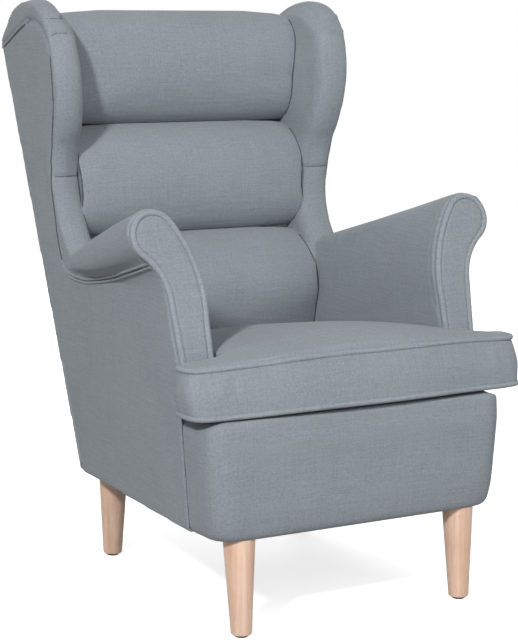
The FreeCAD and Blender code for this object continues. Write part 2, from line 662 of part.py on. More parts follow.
def wing_walls():
    """Everything outside the inner faces of the wings."""
    inside = side_slab([(-FAR, 0.0), (FAR, 0.0), (FAR, 2 * HEIGHT), (-FAR, 2 * HEIGHT)], -FAR, WING_T + SEWN_GAP)
    return inside, mirrored(inside)


def lumbar_crown():
    z = DECK_Z + LUMBAR_CROWN[1]
    return (back_y(z) - LUMBAR_CROWN[0], z)


def roll_sections():
    """Side view of each back roll."""
    def plane(z):
        return (back_y(z, ROLL_BACK_T), z)

    def ahead(z, thickness):
        return (back_y(z) - thickness, z)

    gap = ROLL_GAP / 2
    low = ahead(LOW_CREASE_Z, LOW_CREASE_T)
    high = ahead(HIGH_CREASE_Z, HIGH_CREASE_T)
    ridge = ahead(RIDGE_Z, RIDGE_T)
    lumbar = lumbar_crown()
    middle = ahead(LOW_CREASE_Z + MIDDLE_CROWN[1], MIDDLE_CROWN[0])
    head = ahead(HIGH_CREASE_Z + HEAD_CROWN[1], HEAD_CROWN[0])
    foot = plane(DECK_Z + CUSHION_GAP)
    return {
        "lumbar_roll": [
            foot, (foot[0] - LUMBAR_FOOT, foot[1]),
            (shifted(lumbar, LUMBAR_VIAS[0]), lumbar),
            (shifted(lumbar, LUMBAR_VIAS[1]), shifted(low, (0.0, -gap))),
            plane(low[1] - CREASE_DROP - gap)],
        "middle_roll": [
            plane(low[1] - CREASE_DROP + gap), shifted(low, (0.0, gap)),
            (shifted(middle, MIDDLE_VIAS[0]), middle),
            (shifted(middle, MIDDLE_VIAS[1]), shifted(high, (0.0, -gap))),
            plane(high[1] - CREASE_DROP - gap)],
        "head_roll": [
            plane(high[1] - CREASE_DROP + gap), shifted(high, (0.0, gap)),
            (shifted(head, HEAD_VIAS[0]), head),
            (shifted(head, HEAD_VIAS[1]), ridge),
            (shifted(ridge, RIDGE_VIA), (REAR_Y, HEM_Z)),
            plane(HEM_Z)],
    }


def back_rolls():
    """Rolls that thin towards their ends and are trimmed at the wings or the arms."""
    arm_wall = box(SEAT_HALF - LUMBAR_CLEAR, FAR, -FAR, FAR, 0.0, HEIGHT)
    for name, moves in roll_sections().items():
        foot_z, top_z = moves[0][1], moves[-1][1]
        end = side_x(back_y(foot_z), foot_z) - WING_T + ROLL_TUCK
        middle_z = (foot_z + top_z) / 2
        core = (back_y(middle_z, ROLL_BACK_T), middle_z)

        def pulled(point, share):
            on_hem = point[1] <= HEM_Z and point[0] > core[0] and name == "head_roll"
            return point if on_hem else tuple(c + share * (p - c) for p, c in zip(point, core))

        def section(u):
            share = ROLL_END + (1.0 - ROLL_END) * math.sqrt(1.0 - u ** 4)
            drawn = [(pulled(m[0], share), pulled(m[1], share)) if isinstance(m[0], tuple) else pulled(m, share)
                     for m in moves]
            return wire(drawn, lambda y, z: V(u * end, y, z))

        roll = loft([section(u) for u in ROLL_STATIONS])
        walls = (arm_wall, mirrored(arm_wall)) if name == "lumbar_roll" else wing_walls()
        for wall in walls:
            roll = roll.cut(wall)
        add(name, roll)


def cushion_outline(edge, set_back):
    """Plan of the seat cushion with its ears, drawn in by edge, and its front edge set back."""
    half = SEAT_HALF + EAR_OUT - edge
    narrow = SEAT_HALF - NOTCH_CLEAR - edge
    front = FRONT_Y + edge + set_back
    ear = ARM_FRONT_Y - EAR_CLEAR - edge
    rear = lumbar_crown()[0] - CUSHION_REAR_CLEAR - edge
    r, q = CORNER_R, EAR_R
    bend = r * (1.0 - math.sqrt(0.5))
    bow_r = (half ** 2 + FRONT_BOW ** 2) / (2.0 * FRONT_BOW)
    ear_y = front + bow_r - math.sqrt((bow_r - q) ** 2 - (half - q) ** 2)
    slope = math.atan2(half - q, front + bow_r - ear_y)
    bow_end = (bow_r * math.sin(slope), front + bow_r * (1.0 - math.cos(slope)))
    swing = (slope + math.pi / 2) / 2
    corner = (half - q + q * math.sin(swing), ear_y - q * math.cos(swing))
    e = EAR_SHIFT
    right = [
        (bow_end[0] + e, bow_end[1]),
        ((corner[0] + e, corner[1]), (half + e, ear_y)),
        (half + e, ear - r),
        ((half + e - bend, ear - bend), (half + e - r, ear)),
        (narrow + r, ear),
        ((narrow + bend, ear + bend), (narrow, ear + r)),
        (narrow, rear - r),
        ((narrow - bend, rear - bend), (narrow - r, rear)),
    ]
    left = [
        (r - narrow, rear),
        ((bend - narrow, rear - bend), (-narrow, rear - r)),
        (-narrow, ear + r),
        ((-narrow - bend, ear + bend), (-narrow - r, ear)),
        (r - half + e, ear),
        ((bend - half + e, ear - bend), (e - half, ear - r)),
        (e - half, ear_y),
        ((e - corner[0], corner[1]), (e - bow_end[0], bow_end[1])),
        ((e, front), (bow_end[0] + e, bow_end[1])),
    ]
    return right + left


def cushion_level(z, edge, set_back):
    return wire(cushion_outline(edge, set_back), lambda x, y: V(x, y, z))


def cushion_form(low, high):
    """Boxed sides under a crowned top."""
    crown_z = high + CROWN_H
    sides_form = loft([cushion_level(*level) for level in (
        (DECK_Z + CUSHION_GAP, BOTTOM_INSET, BOTTOM_SLOPE), (low, PIPING_R, 0.0),
        ((low + high) / 2, PIPING_R - BOXING_BULGE, FRONT_SLOPE / 2), (high, PIPING_R, FRONT_SLOPE),
        (crown_z + CROWN_H, PIPING_R, FRONT_SLOPE + TOP_SLOPE))])
    front, rear = FRONT_Y - CROWN_H, lumbar_crown()[0] + CROWN_H
    middle = (front + rear) / 2
    ear = SEAT_HALF + EAR_OUT + EAR_SHIFT + PIPING_R
    stations = []
    for x, share in zip((-ear, -SEAT_HALF, 0.0, SEAT_HALF, ear), CROWN_SHARES):
        rise = CROWN_H * share
        edge_z = high + rise * CROWN_EDGE
        moves = [(front, 0.0), (rear, 0.0), (rear, edge_z), ((middle, high + rise), (front, edge_z))]
        stations.append(wire(moves, lambda y, z, x=x: V(x, y, z)))
    return sides_form.common(loft(stations))


def seat_cushion():
    low = DECK_Z + LOW_PIPING_H
    high = low + BOXING_H
    half = SEAT_HALF + EAR_OUT - EAR_R
    narrow = SEAT_HALF - NOTCH_CLEAR - CORE_INSET
    front = FRONT_Y + FRONT_BOW + FRONT_SLOPE + CORE_INSET
    ear = ARM_FRONT_Y - EAR_CLEAR - CORE_INSET
    rear = lumbar_crown()[0] - CUSHION_REAR_CLEAR - CORE_INSET
    right = [(half, front), (half, ear), (narrow, ear), (narrow, rear)]
    plan = right + [(-x, y) for x, y in right[::-1]]
    core = prism(plan, lambda x, y: V(x, y, low + CORE_INSET / 2), V(0, 0, BOXING_H - CORE_INSET))
    add("seat_cushion_core", core)
    add("seat_cushion_cover", cushion_form(low, high).cut(core))
    pipings = [tube(cushion_level(z, PIPING_R, set_back).Edges, PIPING_R)
               for z, set_back in ((low, 0.0), (high, FRONT_SLOPE))]
    add("seat_cushion_piping", Part.makeCompound(pipings))


for build in (apron_and_dust_cover, seat_springs, arm_fronts, back_panels, back_rolls, seat_cushion):
    build()
sides(seat_frame())

os.makedirs("parts", exist_ok=True)
for name, shape in sorted(nodes.items()):
    shape.exportStep(os.path.join("parts", name + ".step"))
    state = "valid" if shape.isValid() else "invalid"
    print(f"{name}: {len(shape.Solids)} solids, {shape.Volume / 1000.0:.1f} cm3, {state}")
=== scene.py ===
import math

import bmesh
import bpy
import numpy as np
from mathutils import Matrix, Vector
from mathutils.bvhtree import BVHTree
from mathutils.kdtree import KDTree


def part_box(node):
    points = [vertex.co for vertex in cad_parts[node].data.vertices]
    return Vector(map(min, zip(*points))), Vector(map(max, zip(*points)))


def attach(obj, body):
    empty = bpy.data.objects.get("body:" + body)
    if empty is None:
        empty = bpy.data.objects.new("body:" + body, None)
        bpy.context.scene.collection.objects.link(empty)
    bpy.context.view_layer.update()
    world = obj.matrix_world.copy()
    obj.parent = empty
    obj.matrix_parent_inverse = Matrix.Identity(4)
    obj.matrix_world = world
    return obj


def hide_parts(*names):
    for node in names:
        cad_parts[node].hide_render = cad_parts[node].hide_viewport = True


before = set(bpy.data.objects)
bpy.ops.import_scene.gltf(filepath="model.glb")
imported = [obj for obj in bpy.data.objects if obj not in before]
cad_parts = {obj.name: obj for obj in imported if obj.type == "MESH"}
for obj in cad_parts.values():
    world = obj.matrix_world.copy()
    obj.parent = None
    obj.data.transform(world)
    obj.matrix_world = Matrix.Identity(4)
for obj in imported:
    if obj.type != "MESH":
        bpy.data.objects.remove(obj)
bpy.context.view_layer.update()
SIDES = (("left", 1.0), ("right", -1.0))

# Metres, in the chair's own frame: floor at Z 0, the sitter faces -Y, the sitter's left is +X.
# A hand is 1 on the sitter's left and -1 on the right.
SEAM_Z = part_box("wing_pad_left")[0].z          # level seam between the arm cover and the wing cover
CUSHION_LOW, CUSHION_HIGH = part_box("seat_cushion_cover")
BEFORE_Y = -0.5                                # in front of the whole chair
BESIDE_X = 0.6                                 # outside the whole chair, on either hand
TO_REAR = (0.0, 1.0, 0.0)
SAME_SPOT = 0.00002                            # points nearer than this are one
SAME_LEVEL = 0.0002


# Hand tools

def pick(piece):
    """Makes one object the only selected and the active one."""
    bpy.ops.object.select_all(action="DESELECT")
    piece.hide_set(False)
    piece.select_set(True)
    bpy.context.view_layer.objects.active = piece


def link(name, data):
    """A new object in the scene."""
    made = bpy.data.objects.new(name, data)
    bpy.context.scene.collection.objects.link(made)
    return made


def joined(*nodes):
    """The meshes of these CAD nodes in one work mesh, doubles merged."""
    work = bmesh.new()
    for node in nodes:
        work.from_mesh(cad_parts[node].data)
    bmesh.ops.remove_doubles(work, verts=work.verts, dist=SAME_SPOT)
    return work


def pattern_of(name, *nodes):
    """A new object with the joined meshes of these CAD nodes."""
    mesh = bpy.data.meshes.new(name)
    work = joined(*nodes)
    work.to_mesh(mesh)
    work.free()
    return link(name, mesh)


def corners_of(node):
    """The points of a CAD node, one row each."""
    return np.array([v.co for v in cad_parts[node].data.vertices])


def per_point(piece, what):
    """One vector for every point of a piece, as rows."""
    values = np.empty(len(piece.data.vertices) * 3)
    piece.data.vertices.foreach_get(what, values)
    return values.reshape(-1, 3)


def places(piece):
    """Where every point is."""
    return per_point(piece, "co")


def facings_of(piece):
    """The normal at every point."""
    return per_point(piece, "normal")


def put(piece, co):
    """Moves every point to a new place."""
    piece.data.vertices.foreach_set("co", np.ascontiguousarray(co).ravel())
    piece.data.update()


def remesh(piece, voxel):
    """An even mesh over the whole piece, with faces about one voxel wide."""
    piece.data.remesh_voxel_size = voxel
    pick(piece)
    bpy.ops.object.voxel_remesh()


def weights(piece, name, values):
    """A vertex group with one weight for every point."""
    group = piece.vertex_groups.new(name=name)
    for i in np.nonzero(values > 0.01)[0]:
        group.add([int(i)], float(values[i]), "REPLACE")
    return group.name


def work_in(piece, modifier):
    """Applies a modifier to its piece."""
    pick(piece)
    bpy.ops.object.modifier_apply(modifier=modifier.name)


def relax(piece, rounds, where=None):
    """Smooths the mesh, everywhere or by one weight for every point."""
    add = piece.modifiers.new("relax", "SMOOTH")
    add.factor, add.iterations = 0.5, rounds
    if where is not None:
        add.vertex_group = weights(piece, "relax", where)
    work_in(piece, add)


def finer(piece):
    """Splits every face in four and rounds the mesh."""
    add = piece.modifiers.new("finer", "SUBSURF")
    add.levels = add.render_levels = 1
    work_in(piece, add)


def push(piece, amount):
    """Moves every point along its normal, by one amount or by one each."""
    amount = np.asarray(amount)
    put(piece, places(piece) + facings_of(piece) * (amount[:, None] if amount.ndim else amount))


def ease(x, low, high):
    """0 up to low, 1 from high on, and a smooth rise between them."""
    t = np.clip((x - low) / (high - low), 0.0, 1.0)
    return t * t * (3.0 - 2.0 * t)


def bell(x, wide):
    """1 at zero, with a smooth fall on both sides."""
    return np.exp(-(x / wide) ** 2)


FILL_FRAMES = 20
FILL_PRESSURE = 4.0


def fill(piece, cap, held):
    """Stuffs a closed cover: cloth under pressure, sewn down where held, each point moved by the cap at most."""
    scene = bpy.context.scene
    rest = places(piece)
    cloth = piece.modifiers.new("fill", "CLOTH")
    cloth.settings.quality = 5
    cloth.settings.use_pressure = True
    cloth.settings.uniform_pressure_force = FILL_PRESSURE
    cloth.settings.effector_weights.gravity = 0.0
    cloth.settings.vertex_group_mass = weights(piece, "sewn", held)
    cloth.point_cache.frame_start, cloth.point_cache.frame_end = 1, FILL_FRAMES
    for number in range(1, FILL_FRAMES + 1):
        scene.frame_set(number)
    swollen = piece.evaluated_get(bpy.context.evaluated_depsgraph_get())
    step = places(swollen) - rest
    size = np.linalg.norm(step, axis=1, keepdims=True)
    piece.modifiers.remove(cloth)
    scene.frame_set(1)
    put(piece, rest + step * np.minimum(1.0, cap / np.maximum(size, 1e-9)))


def smooth_shading(piece):
    """Shades all faces as one surface."""
    pick(piece)
    bpy.ops.object.shade_smooth()


def tube(name, route, radius):
    """A sewn cord along a route of points, as a mesh."""
    curve = bpy.data.curves.new(name, "CURVE")
    curve.dimensions = "3D"
    spline = curve.splines.new("NURBS")
    spline.points.add(len(route) - 1)
    for point, place in zip(spline.points, route):
        point.co = (*place, 1.0)
    spline.order_u = 3
    spline.use_endpoint_u = True
    curve.resolution_u = 4
    curve.bevel_depth = radius
    curve.bevel_resolution = 3
    curve.use_fill_caps = True
    piece = link(name, curve)
    pick(piece)
    bpy.ops.object.convert(target="MESH")
    smooth_shading(piece)
    return piece


# Shader tools

class Strand:
    """One value in a node tree; sums and products of strands add Math nodes."""

    def __init__(self, nodes, socket):
        self.nodes, self.socket = nodes, socket

    def math(self, operation, first, second):
        return self.nodes.node("ShaderNodeMath", {"operation": operation}, {0: first, 1: second})

    def __add__(self, other):
        return self.math("ADD", self, other)

    def __radd__(self, other):
        return self.math("ADD", other, self)

    def __sub__(self, other):
        return self.math("SUBTRACT", self, other)

    def __rsub__(self, other):
        return self.math("SUBTRACT", other, self)

    def __mul__(self, other):
        return self.math("MULTIPLY", self, other)

    def __rmul__(self, other):
        return self.math("MULTIPLY", other, self)

    def __gt__(self, other):
        return self.math("GREATER_THAN", self, other)

    def sine(self):
        return self.math("SINE", self, 0.0)

    def size(self):
        return self.math("ABSOLUTE", self, 0.0)

    def most(self, other):
        return self.math("MAXIMUM", self, other)


class Nodes:
    """The node tree of a material or a world, filled node by node."""

    def __init__(self, owner):
        owner.use_nodes = True
        self.owner, self.tree = owner, owner.node_tree
        self.tree.nodes.clear()

    def node(self, kind, settings=None, sockets=None, out=0):
        """Adds one node and gives one of its outputs as a strand."""
        made = self.tree.nodes.new(kind)
        for key, value in (settings or {}).items():
            setattr(made, key, value)
        for key, value in (sockets or {}).items():
            self.join(made.inputs[key], value)
        return Strand(self, made.outputs[out] if len(made.outputs) else None)

    def join(self, socket, value):
        """Feeds an input with a strand, or sets it to a plain value."""
        if isinstance(value, Strand):
            self.tree.links.new(value.socket, socket)
        else:
            socket.default_value = value


class Finish(Nodes):
    """A material with one Principled shader."""

    def __init__(self, name, constants):
        super().__init__(bpy.data.materials.new(name))
        self.material = self.owner
        shader = self.node("ShaderNodeBsdfPrincipled", None, constants)
        self.inputs = shader.socket.node.inputs
        self.node("ShaderNodeOutputMaterial", None, {"Surface": shader})

    def three(self, kind):
        """One kind of texture coordinate as three strands."""
        spot = self.node("ShaderNodeTexCoord", out=kind)
        return [self.node("ShaderNodeSeparateXYZ", None, {0: spot}, out=i) for i in range(3)]

    def place(self):
        """Object coordinates."""
        return self.three("Object")

    def facing(self):
        """The normal, in object coordinates."""
        return self.three("Normal")

    def at(self, x, y, z):
        """Three strands as one vector."""
        return self.node("ShaderNodeCombineXYZ", None, {0: x, 1: y, 2: z})

    def noise(self, vector, scale, detail=2.0, rough=0.5):
        """Cloudy noise, around 0.5."""
        return self.node("ShaderNodeTexNoise", None,
                         {"Vector": vector, "Scale": scale, "Detail": detail, "Roughness": rough})

    def between(self, share, low, high):
        """A value that goes from low to high with the share."""
        return low + (high - low) * share

    def step(self, value, low, high):
        """0 up to low, 1 from high on, and a smooth rise between them."""
        return self.node("ShaderNodeMapRange", {"interpolation_type": "SMOOTHSTEP"},
                         {"Value": value, "From Min": low, "From Max": high})

    def tint(self, share, first, second):
        """A colour that goes from first to second with the share."""
        return self.node("ShaderNodeMix", {"data_type": "RGBA"},
                         {0: share, 6: (*first, 1.0), 7: (*second, 1.0)}, out=2)

    def feed(self, socket, strand):
        """Joins a strand to the shader."""
        self.join(self.inputs[socket], strand)

    def relief(self, height, depth):
        """Fine relief, depth metres for a height of 1."""
        self.feed("Normal", self.node("ShaderNodeBump", None,
                                      {"Height": height, "Distance": depth, "Strength": 1.0}))


# Finishes: the noise scales and stretches are per metre.

def woven_cloth(name, pale, deep, thread=0.0016, slub=0.55, sheen=0.12):
    """Plain-woven upholstery cloth with slubs along the weft, level on upright surfaces."""
    cloth = Finish(name, {"Specular IOR Level": 0.18, "Sheen Weight": sheen, "Sheen Roughness": 0.5})
    x, y, z = cloth.place()
    sideways = cloth.step(cloth.facing()[0].size(), 0.60, 0.82)
    pitch = math.pi / thread

    def weave(along, up):
        """Threads, weft slubs and warp slubs on a surface that runs along and up."""
        warp, weft = (along * pitch).sine(), (up * pitch).sine()
        over = (warp * weft) > 0.0
        return (over * warp.size() + (1.0 - over) * weft.size(),
                cloth.noise(cloth.at(along * 14.0, up * 420.0, 0.0), 1.0, 2.0),
                cloth.noise(cloth.at(along * 380.0, up * 11.0, 3.0), 1.0, 2.0))

    threads, weft_slubs, warp_slubs = (cloth.between(sideways, fore, side)
                                       for fore, side in zip(weave(x, z + y), weave(y, z)))
    flecks = cloth.noise(cloth.at(x, y, z), 330.0, 2.0)
    mottle = cloth.noise(cloth.at(x, y, z), 7.0, 3.0)
    tone = (weft_slubs - 0.5) * slub + (warp_slubs - 0.5) * (slub * 0.7) + (flecks - 0.5) * 0.6
    tone = tone + (mottle - 0.5) * 0.22 + (threads - 0.6) * 0.10 + 0.5
    cloth.feed("Base Color", cloth.tint(cloth.step(tone, 0.05, 0.95), deep, pale))
    cloth.feed("Roughness", 0.86 + 0.10 * weft_slubs)
    cloth.relief(threads * 0.5 + weft_slubs * 0.9 + warp_slubs * 0.6, 0.0006)
    return cloth.material


def beech_wood(name, pale, deep):
    """Straight beech grain along the leg with short dark flecks, under a thin satin lacquer."""
    wood = Finish(name, {"Specular IOR Level": 0.35})
    x, y, z = wood.place()
    bands = wood.noise(wood.at(x * 95.0, y * 95.0, z * 4.0), 1.0, 3.0, 0.55)
    pores = wood.noise(wood.at(x * 900.0, y * 900.0, z * 38.0), 1.0, 1.0)
    flecks = wood.step(pores, 0.66, 0.74)
    cloudy = wood.noise(wood.at(x, y, z), 16.0, 2.0)
    tone = bands * 0.7 + cloudy * 0.3 - flecks * 0.35
    wood.feed("Base Color", wood.tint(wood.step(tone, 0.25, 0.75), deep, pale))
    wood.feed("Roughness", 0.42 + 0.18 * bands + 0.1 * flecks)
    wood.relief(bands * 0.4 - flecks * 0.6, 0.0003)
    return wood.material


def moulded(name, pale, deep, rough=0.55, grain=800.0):
    """Plain moulded plastic, foam or wire with a fine texture."""
    made = Finish(name, {"Specular IOR Level": 0.4})
    x, y, z = made.place()
    fine = made.noise(made.at(x, y, z), grain, 2.0)
    wide = made.noise(made.at(x, y, z), 40.0, 2.0)
    made.feed("Base Color", made.tint(fine * 0.6 + wide * 0.4, deep, pale))
    made.feed("Roughness", rough + 0.2 * (wide - 0.5))
    made.relief(fine, 0.0002)
    return made.material


def srgb(r, g, b):
    """A colour picked on a screen, 0 to 255, as a colour of light."""
    return tuple(((c / 255.0 + 0.055) / 1.055) ** 2.4 for c in (r, g, b))


COVER_CLOTH = woven_cloth("grey_blue_cover_cloth", srgb(156, 163, 169), srgb(121, 128, 134), slub=0.36)
# The cover cloth made lighter for the piping and welt cords: painted highlight on the cords
PIPING_CLOTH_PAINTED_LIGHT = woven_cloth("piping_cloth_painted_light", srgb(161, 168, 174), srgb(125, 132, 138))
# Dark cloth for the cords laid in seams, tucks and creases: painted shade of their grooves
PAINTED_SEAM_SHADE = woven_cloth("seam_thread", srgb(96, 101, 108), srgb(70, 75, 82), slub=0.2, sheen=0.0)
DECK_CLOTH = woven_cloth("deck_cloth", srgb(140, 145, 151), srgb(104, 109, 115), slub=0.35)
DUST_CLOTH = woven_cloth("dust_cover_cloth", srgb(34, 34, 36), srgb(16, 16, 18), slub=0.3, sheen=0.0)
LINING_CLOTH = woven_cloth("lining_cloth", srgb(206, 202, 192), srgb(176, 171, 160), slub=0.3)
WEBBING_CLOTH = woven_cloth("webbing_cloth", srgb(70, 66, 60), srgb(40, 38, 34), thread=0.003)
LEG_BEECH = beech_wood("pale_beech", srgb(236, 203, 181), srgb(205, 167, 141))
FRAME_WOOD = beech_wood("frame_wood", srgb(214, 184, 146), srgb(176, 142, 104))
PLYWOOD = beech_wood("plywood", srgb(222, 196, 156), srgb(184, 152, 112))
SPRING_STEEL = moulded("spring_steel", (0.30, 0.30, 0.31), (0.18, 0.18, 0.19), 0.4)
GLIDE_PLASTIC = moulded("glide_plastic", srgb(58, 54, 52), srgb(34, 32, 31))
FOAM = moulded("foam", srgb(232, 222, 190), srgb(206, 196, 162), 0.9, 300.0)
SLOT_FINISH = {"cover_fabric": COVER_CLOTH, "beech": LEG_BEECH, "frame_wood": FRAME_WOOD, "plywood": PLYWOOD,
               "spring_steel": SPRING_STEEL, "glide_plastic": GLIDE_PLASTIC, "dust_cloth": DUST_CLOTH,
               "webbing": WEBBING_CLOTH, "lining_cloth": LINING_CLOTH, "foam": FOAM}


def dress(piece, finish, body="chair", nodes=()):
    """Gives a finished piece its finish, its body and the CAD nodes that it stands for."""
    piece.data.materials.clear()
    piece.data.materials.append(finish)
    smooth_shading(piece)
    if nodes:
        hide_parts(*nodes)
    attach(piece, body)


# Radii of the dark cords that paint the shade in the seams, tucks and creases
SHADE_LINE, WELT_SHADE_LINE, LEVEL_SHADE_LINE, TUCK_SHADE_LINE = 0.0011, 0.0009, 0.0007, 0.0005
FACING_SHADE_LINE, FRONT_SHADE_LINE, END_SHADE_LINE = 0.0022, 0.0014, 0.0016


def cord(name, route, radius, finish=PIPING_CLOTH_PAINTED_LIGHT):
    """A welt or a rolled fold of cloth along a route."""
    dress(tube(name, route, radius), finish)


def seam_shade_line(name, route, radius=SHADE_LINE):
    """A dark cord along a seam or crease that stands for the shade in its groove: painted shade."""
    cord(name, route, radius, PAINTED_SEAM_SHADE)


# Routes and distances

def evenly(route, gap):
    """Points along a route of straight runs, about one gap apart."""
    found = [np.array(route[0])]
    for a, b in zip(route, route[1:]):
        a, b = np.array(a), np.array(b)
        count = max(1, round(float(np.linalg.norm(b - a)) / gap))
        found += [a + (b - a) * i / count for i in range(1, count + 1)]
    return np.array(found)


def tree_of(piece):
    """A finder of the spots where rays meet a piece."""
    return BVHTree.FromObject(piece, bpy.context.evaluated_depsgraph_get())


def lay(piece, starts, way, lift):
    """Points carried along one way onto the piece, lifted off it along its normal."""
    tree = tree_of(piece)
    hits = [tree.ray_cast(Vector(start), Vector(way)) for start in starts]
    return [spot + normal * lift for spot, normal, _, _ in hits if spot is not None]


def lay_from_front(piece, route):
    """The route's (x, z) points carried from the front onto the piece."""
    return lay(piece, [(x, BEFORE_Y, z) for x, z in route], TO_REAR, 0.0)


def lay_outside(piece, hand, route, lift=0.0):
    """The route's (y, z) points carried from outside onto the piece."""
    return lay(piece, [(hand * BESIDE_X, y, z) for y, z in route], (-hand, 0.0, 0.0), lift)


def from_run(co, first, last):
    """Vector to every point from the nearest place on a straight run."""
    first, run = np.array(first), np.array(last) - np.array(first)
    share = np.clip((co - first) @ run / (run @ run), 0.0, 1.0)
    return co - first - share[:, None] * run


def rim_of(node):
    """The rear edge of a flat CAD node as one loop of points."""
    work = joined(node)
    beside = {}
    for edge in work.edges:
        ways = sorted(face.normal.y for face in edge.link_faces)
        if len(ways) == 2 and ways[1] > 0.8 and ways[0] < 0.5:
            for a, b in (edge.verts, reversed(edge.verts)):
                beside.setdefault(a.index, []).append(b.index)
    work.verts.ensure_lookup_table()
    loop = [next(iter(beside))]
    while True:
        ahead = [i for i in beside[loop[-1]] if i not in loop]
        if not ahead:
            break
        loop.append(ahead[0])
    spots = [work.verts[i].co.copy() for i in loop]
    work.free()
    return spots


def far_from(co, node):
    """Distance of every point from the nearest corner point of a CAD node."""
    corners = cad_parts[node].data.vertices
    lookup = KDTree(len(corners))
    for i, corner in enumerate(corners):
        lookup.insert(corner.co, i)
    lookup.balance()
    return np.array([lookup.find(Vector(spot))[2] for spot in co])


def near(co, route):
    """Distance in (y, z) of every point from a route."""
    best = np.full(len(co), np.inf)
    for y, z in evenly(route, 0.004):
        best = np.minimum(best, np.hypot(co[:, 1] - y, co[:, 2] - z))
    return best


# Sides: arm, wing and outside panel. Routes are (y, z), apart from the tucks.

HEM = ((0.419, 0.944), (0.386, 0.955), (0.343, 0.970), (0.301, 0.983), (0.265, 0.994))   # edge of the wing's cap
BORDER = ((0.265, 0.994), (0.224, 0.990), (0.196, 0.976), (0.175, 0.955), (0.166, 0.930), (0.164, 0.896),
          (0.167, 0.852), (0.176, 0.815), (0.186, 0.779), (0.197, 0.741), (0.204, 0.704), (0.206, 0.677),
          (0.207, 0.649), (0.205, 0.612), (0.198, 0.576), (0.184, 0.548))       # front edge of the outside panel
NOTCH = 0.938                                  # above this the border is a fold, below it a seam
UNDER_ARM = ((0.190, 0.556), (0.166, 0.539), (0.126, 0.534), (0.072, 0.535), (0.003, 0.545), (-0.089, 0.562),
             (-0.167, 0.580), (-0.225, 0.594), (-0.285, 0.609))                 # double welt below the scroll
TUCKS = (((0.303, 0.9965), (0.290, 0.9965), (0.273, 0.9965)),
         ((0.303, 0.9655), (0.294, 0.9705), (0.273, 0.9705)))                   # (x, z) over the wing's top
LEVEL_SEAM = (0.243, 0.2865)                   # x of the two ends of the level seam

# How far the padding moves the cover outwards
COVER_PROUD = 0.0016                           # everywhere
WING_FULL = 0.011                              # inner side of the wing
CAP_FULL = 0.009                               # rear of the wing's cap
TOP_DRAWN = 0.007                              # inner side of the wing's top, drawn down
WAIST_FULL = 0.007                             # front edge at the level seam
CAP_PROUD = 0.0034                             # cap over the outside panel

# How far the sewing draws the cover in
SEAM_DEPTH = 0.0022
FOLD_DEPTH = 0.0036                            # border above the notch
TUCK_DEPTH, TUCK_ROLL = 0.0030, 0.0022         # a tuck, and the roll of cloth over it
FACING_DEPTH, FACING_GAP = 0.0016, 0.013       # groove behind the welt of the arm's facing, and its way from it

WELT_GAP, WELT_RADIUS = 0.0030, 0.0026         # each cord of the double welt
HEM_GAP, HEM_RADIUS = 0.0045, 0.0032           # seam below the hem, and the hem's fold
REAR_WELT_RADIUS, REAR_WELT_IN = 0.0030, 0.004
FRONT_FOLD_RADIUS = 0.0034


def pad_side(piece, hand):
    """Pads the wing and the arm. Gives every point's height over the hem before that."""
    co, no = places(piece), facings_of(piece)
    inwards = -no[:, 0] * hand
    over_hem = co[:, 2] - np.interp(co[:, 1], [HEM[-1][0], HEM[0][0]], [HEM[-1][1], HEM[0][1]])
    full = WING_FULL * ease(co[:, 2], SEAM_Z + 0.05, SEAM_Z + 0.16) * (1.0 - ease(co[:, 2], 0.90, 0.985))
    full *= ease(co[:, 1], 0.150, 0.250) * ease(inwards, 0.2, 0.8)
    full += CAP_FULL * ease(over_hem, -0.020, 0.004) * ease(no[:, 1], 0.1, 0.7)
    full -= TOP_DRAWN * ease(co[:, 2], 0.965, 1.0) * ease(inwards, 0.1, 0.5) * ease(no[:, 2], 0.1, 0.5)
    waist = bell(co[:, 2] - SEAM_Z - 0.012, 0.060) * ease(-no[:, 1] + no[:, 0] * hand, 0.6, 1.2)
    full += WAIST_FULL * waist * ease(-co[:, 1], -0.235, -0.212)
    push(piece, full)
    co, no = places(piece), facings_of(piece)
    below_scroll = ease(no[:, 0] * hand - no[:, 2], 0.4, 0.9) * bell(near(co, UNDER_ARM) - 0.020, 0.022)
    inner_edge = ease(co[:, 2], SEAM_Z - 0.10, SEAM_Z) * ease(-no[:, 0] * hand, 0.1, 0.4)
    relax(piece, 12, where=np.maximum(0.25, np.maximum(below_scroll, inner_edge)))
    return over_hem


def tuck_dents(co, tucks):
    """How far the tucks draw every point in, or roll it out above them."""
    drawn_in = np.zeros(len(co))
    for tuck in tucks:
        for first, last in zip(tuck, tuck[1:]):
            off = from_run(co, first, last)
            far = np.linalg.norm(off, axis=1)
            dent = TUCK_DEPTH * bell(far, 0.0042)
            dent -= TUCK_ROLL * bell(far - 0.010, 0.006) * ease(off[:, 2], 0.0, 0.004)
            drawn_in = np.where(np.abs(dent) > np.abs(drawn_in), dent, drawn_in)
    return drawn_in


def sew_side(piece, side, hand, over_hem, tucks):
    """Draws the cover in along its seams, and sets the wing's cap over the outside panel."""
    co, no = places(piece), facings_of(piece)
    outer = ease(no[:, 0] * hand, 0.55, 0.85)
    strip = ease(-no[:, 1], -0.2, 0.2) * (1.0 - outer)
    border = near(co, BORDER)
    seam = SEAM_DEPTH * bell(border, 0.0034) * outer
    seam += FOLD_DEPTH * bell(border, 0.0070) * ease(co[:, 2], NOTCH - 0.01, NOTCH + 0.01) * outer
    seam += SEAM_DEPTH * bell(near(co, HEM), 0.0040) * outer
    seam += SEAM_DEPTH * bell(co[:, 2] - SEAM_Z, 0.0030) * strip
    seam += tuck_dents(co, tucks) * strip
    behind_welt = far_from(co, "arm_welt_" + side) - FACING_GAP
    seam += FACING_DEPTH * bell(behind_welt, 0.0030) * ease(no[:, 1], -0.75, -0.45)
    cap = ease(over_hem, 0.0, 0.005) * ease(co[:, 1], HEM[-1][0] - 0.02, HEM[-1][0] + 0.02)
    push(piece, CAP_PROUD * cap * outer - seam)


